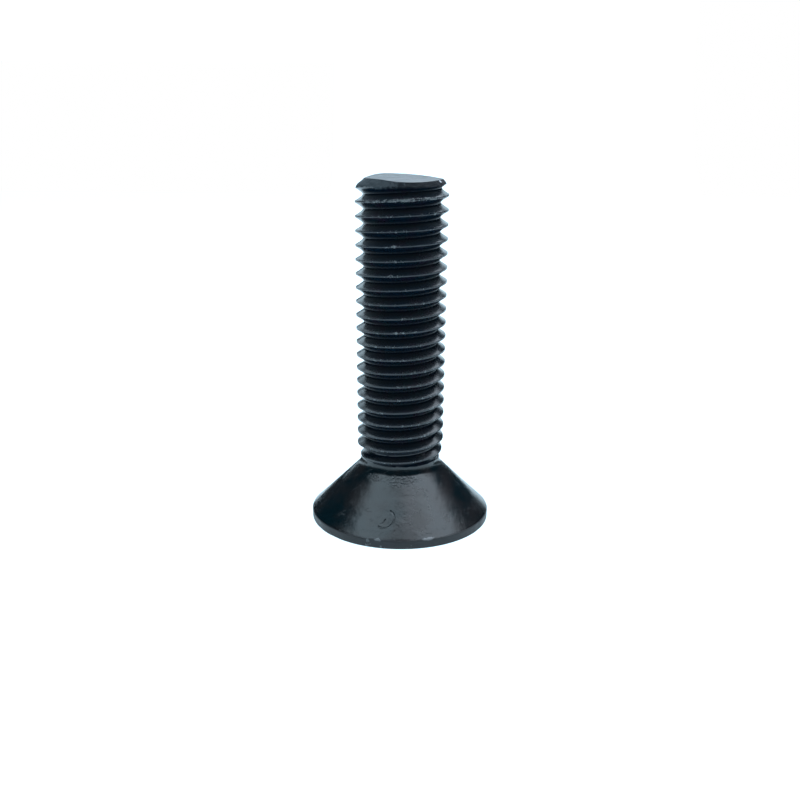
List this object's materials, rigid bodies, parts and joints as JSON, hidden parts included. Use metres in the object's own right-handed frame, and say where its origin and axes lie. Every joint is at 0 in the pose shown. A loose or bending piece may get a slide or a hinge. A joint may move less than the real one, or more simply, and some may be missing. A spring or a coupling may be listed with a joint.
{
  "type": "countersunk socket screw",
  "caption": "Countersunk socket screw in black-oxide steel, with a hexagon socket in a flat 90-degree head and a right-hand thread from the neck to a chamfered point.",
  "frame": {"origin": "centre of the head's flat face, on the screw's axis", "axes": "+Z along the axis from the head's face to the point, so the screw stands on its head; +X and +Y are square to it, with two flats of the socket facing +Y and -Y"},
  "size_m": [0.025, 0.025, 0.0456],
  "materials": {
    "black_oxide_steel": "satin"
  },
  "bodies": {
    "root": {"screw": "black_oxide_steel"}
  },
  "joints": []
}
